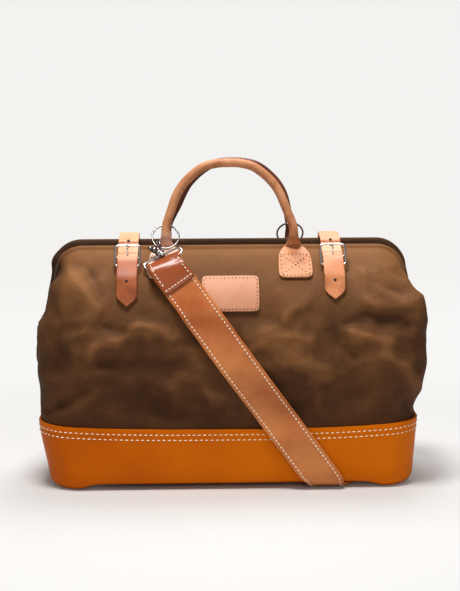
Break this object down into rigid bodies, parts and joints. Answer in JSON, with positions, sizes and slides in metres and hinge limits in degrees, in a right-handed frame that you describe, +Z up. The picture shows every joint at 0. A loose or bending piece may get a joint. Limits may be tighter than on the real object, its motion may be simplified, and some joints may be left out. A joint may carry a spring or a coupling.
{
  "type": "doctor bag",
  "caption": "Canvas doctor bag on a leather base, with a wide hinged wire-rail mouth, rolled leather handles, buckled closure straps and a clip-on shoulder strap.",
  "frame": {"origin": "on the ground, under the middle of the bag", "axes": "+X along the bag's length to the right as seen from the front, -Y to the front, +Z up"},
  "size_m": [0.508, 0.1982, 0.417],
  "materials": {
    "canvas": "brown waxed cotton canvas",
    "base_leather": "smooth orange tan leather, stitched",
    "tan_leather": "smooth tan bridle leather",
    "pale_leather": "natural vegetable tanned leather",
    "handle_leather": "rolled bridle leather",
    "rope": "laid cotton rope",
    "board": "stiff base board",
    "steel": "bent round bar",
    "nickel": "nickel plate",
    "dark_nickel": "dark nickel plate"
  },
  "bodies": {
    "bag": {"leather_base": "base_leather", "base_board": "board", "canvas_body": "canvas", "shoulder_strap": "tan_leather", "left_pivot_rivet": "steel", "left_pivot_washer": "steel", "left_hinge_tab": "tan_leather", "right_pivot_rivet": "steel", "right_pivot_washer": "steel", "right_hinge_tab": "tan_leather"},
    "front_frame": {"front_rail": "steel", "front_mouth_hem": "canvas", "front_canvas_upper": "canvas", "front_strap_loop": "nickel", "label_patch": "pale_leather", "left_chape": "tan_leather", "right_chape": "tan_leather", "front_left_tab": "pale_leather", "front_left_tab_backing": "pale_leather", "front_right_tab": "pale_leather", "front_right_tab_backing": "pale_leather"},
    "back_frame": {"back_rail": "steel", "back_mouth_hem": "canvas", "back_canvas_upper": "canvas", "back_strap_loop": "nickel", "left_strap_anchor": "pale_leather", "right_strap_anchor": "pale_leather", "back_left_tab": "pale_leather", "back_left_tab_backing": "pale_leather", "back_right_tab": "pale_leather", "back_right_tab_backing": "pale_leather"},
    "front_handle_roll": {"front_handle": "handle_leather", "front_handle_core": "rope"},
    "front_ring_link": {"front_ring": "nickel"},
    "front_hook_swivel": {"front_hook": "dark_nickel"},
    "front_gate_lever": {"front_gate": "dark_nickel"},
    "back_handle_roll": {"back_handle": "handle_leather", "back_handle_core": "rope"},
    "back_ring_link": {"back_ring": "nickel"},
    "back_hook_swivel": {"back_hook": "dark_nickel"},
    "back_gate_lever": {"back_gate": "dark_nickel"},
    "left_strap": {"left_closure_strap": "pale_leather"},
    "left_buckle_frame": {"left_buckle": "nickel"},
    "left_prong_pin": {"left_prong": "nickel"},
    "right_strap": {"right_closure_strap": "pale_leather"},
    "right_buckle_frame": {"right_buckle": "nickel"},
    "right_prong_pin": {"right_prong": "nickel"}
  },
  "joints": [
    {"name": "front_open", "type": "hinge", "parent": "bag", "child": "front_frame", "pos_m": [0, 0, 0.205], "axis": [1, 0, 0], "range_deg": [0, 45], "deforming": ["label_patch", "left_chape", "right_chape", "front_left_tab", "front_left_tab_backing", "front_right_tab", "front_right_tab_backing", "shoulder_strap"]},
    {"name": "back_open", "type": "hinge", "parent": "bag", "child": "back_frame", "pos_m": [0, 0, 0.205], "axis": [1, 0, 0], "range_deg": [-45, 0], "deforming": ["left_strap_anchor", "right_strap_anchor", "back_left_tab", "back_left_tab_backing", "back_right_tab", "back_right_tab_backing"]},
    {"name": "left_strap_fold", "type": "hinge", "parent": "back_frame", "child": "left_strap", "pos_m": [0, 0.009, 0.304], "axis": [1, 0, 0], "range_deg": [-180, 0], "deforming": ["left_closure_strap"]},
    {"name": "left_buckle_tilt", "type": "hinge", "parent": "front_frame", "child": "left_buckle_frame", "pos_m": [-0.128, -0.04675, 0.28585], "axis": [1, 0, 0], "range_deg": [-3, 3]},
    {"name": "left_prong_lift", "type": "hinge", "parent": "left_buckle_frame", "child": "left_prong_pin", "pos_m": [-0.128, -0.04675, 0.28585], "axis": [1, 0, 0], "range_deg": [0, 60]},
    {"name": "right_strap_fold", "type": "hinge", "parent": "back_frame", "child": "right_strap", "pos_m": [0, 0.009, 0.304], "axis": [1, 0, 0], "range_deg": [-180, 0], "deforming": ["right_closure_strap"]},
    {"name": "right_buckle_tilt", "type": "hinge", "parent": "front_frame", "child": "right_buckle_frame", "pos_m": [0.128, -0.04675, 0.28585], "axis": [1, 0, 0], "range_deg": [-3, 3]},
    {"name": "right_prong_lift", "type": "hinge", "parent": "right_buckle_frame", "child": "right_prong_pin", "pos_m": [0.128, -0.04675, 0.28585], "axis": [1, 0, 0], "range_deg": [0, 60]},
    {"name": "front_handle_swing", "type": "hinge", "parent": "front_frame", "child": "front_handle_roll", "pos_m": [0, -0.03, 0.313], "axis": [1, 0, 0], "range_deg": [0, 80]},
    {"name": "front_ring_swing", "type": "hinge", "parent": "front_frame", "child": "front_ring_link", "pos_m": [-0.09075, -0.03779, 0.30146], "axis": [0.8191, -0.3207, -0.4755], "range_deg": [-4, 4]},
    {"name": "front_hook_turn", "type": "hinge", "parent": "front_frame", "child": "front_hook_swivel", "pos_m": [-0.082, -0.061, 0.284], "axis": [-0.2885, 0.7653, 0.5754], "range_deg": [-4, 4]},
    {"name": "front_gate_press", "type": "hinge", "parent": "front_hook_swivel", "child": "front_gate_lever", "pos_m": [-0.09004, -0.04077, 0.29309], "axis": [0.9175, 0.3927, -0.0623], "range_deg": [0, 20], "stiffness_Nm_per_rad": 0.02, "springref_deg": -17.19},
    {"name": "back_handle_swing", "type": "hinge", "parent": "back_frame", "child": "back_handle_roll", "pos_m": [0, 0.036, 0.313], "axis": [1, 0, 0], "range_deg": [-80, 0]},
    {"name": "back_ring_swing", "type": "hinge", "parent": "back_frame", "child": "back_ring_link", "pos_m": [0.09075, 0.04379, 0.30146], "axis": [-0.8191, 0.3207, -0.4755], "range_deg": [-4, 4]},
    {"name": "back_hook_turn", "type": "hinge", "parent": "back_frame", "child": "back_hook_swivel", "pos_m": [0.082, 0.067, 0.284], "axis": [0.2885, -0.7653, 0.5754], "range_deg": [-4, 4]},
    {"name": "back_gate_press", "type": "hinge", "parent": "back_hook_swivel", "child": "back_gate_lever", "pos_m": [0.09004, 0.04677, 0.29309], "axis": [-0.9175, -0.3927, -0.0623], "range_deg": [0, 20], "stiffness_Nm_per_rad": 0.02, "springref_deg": -17.19}
  ],
  "couplings": [
    {"joint": "back_open", "follows": "front_open", "ratio": -1},
    {"joint": "left_strap_fold", "follows": "front_open", "ratio": -4},
    {"joint": "right_strap_fold", "follows": "front_open", "ratio": -4}
  ]
}
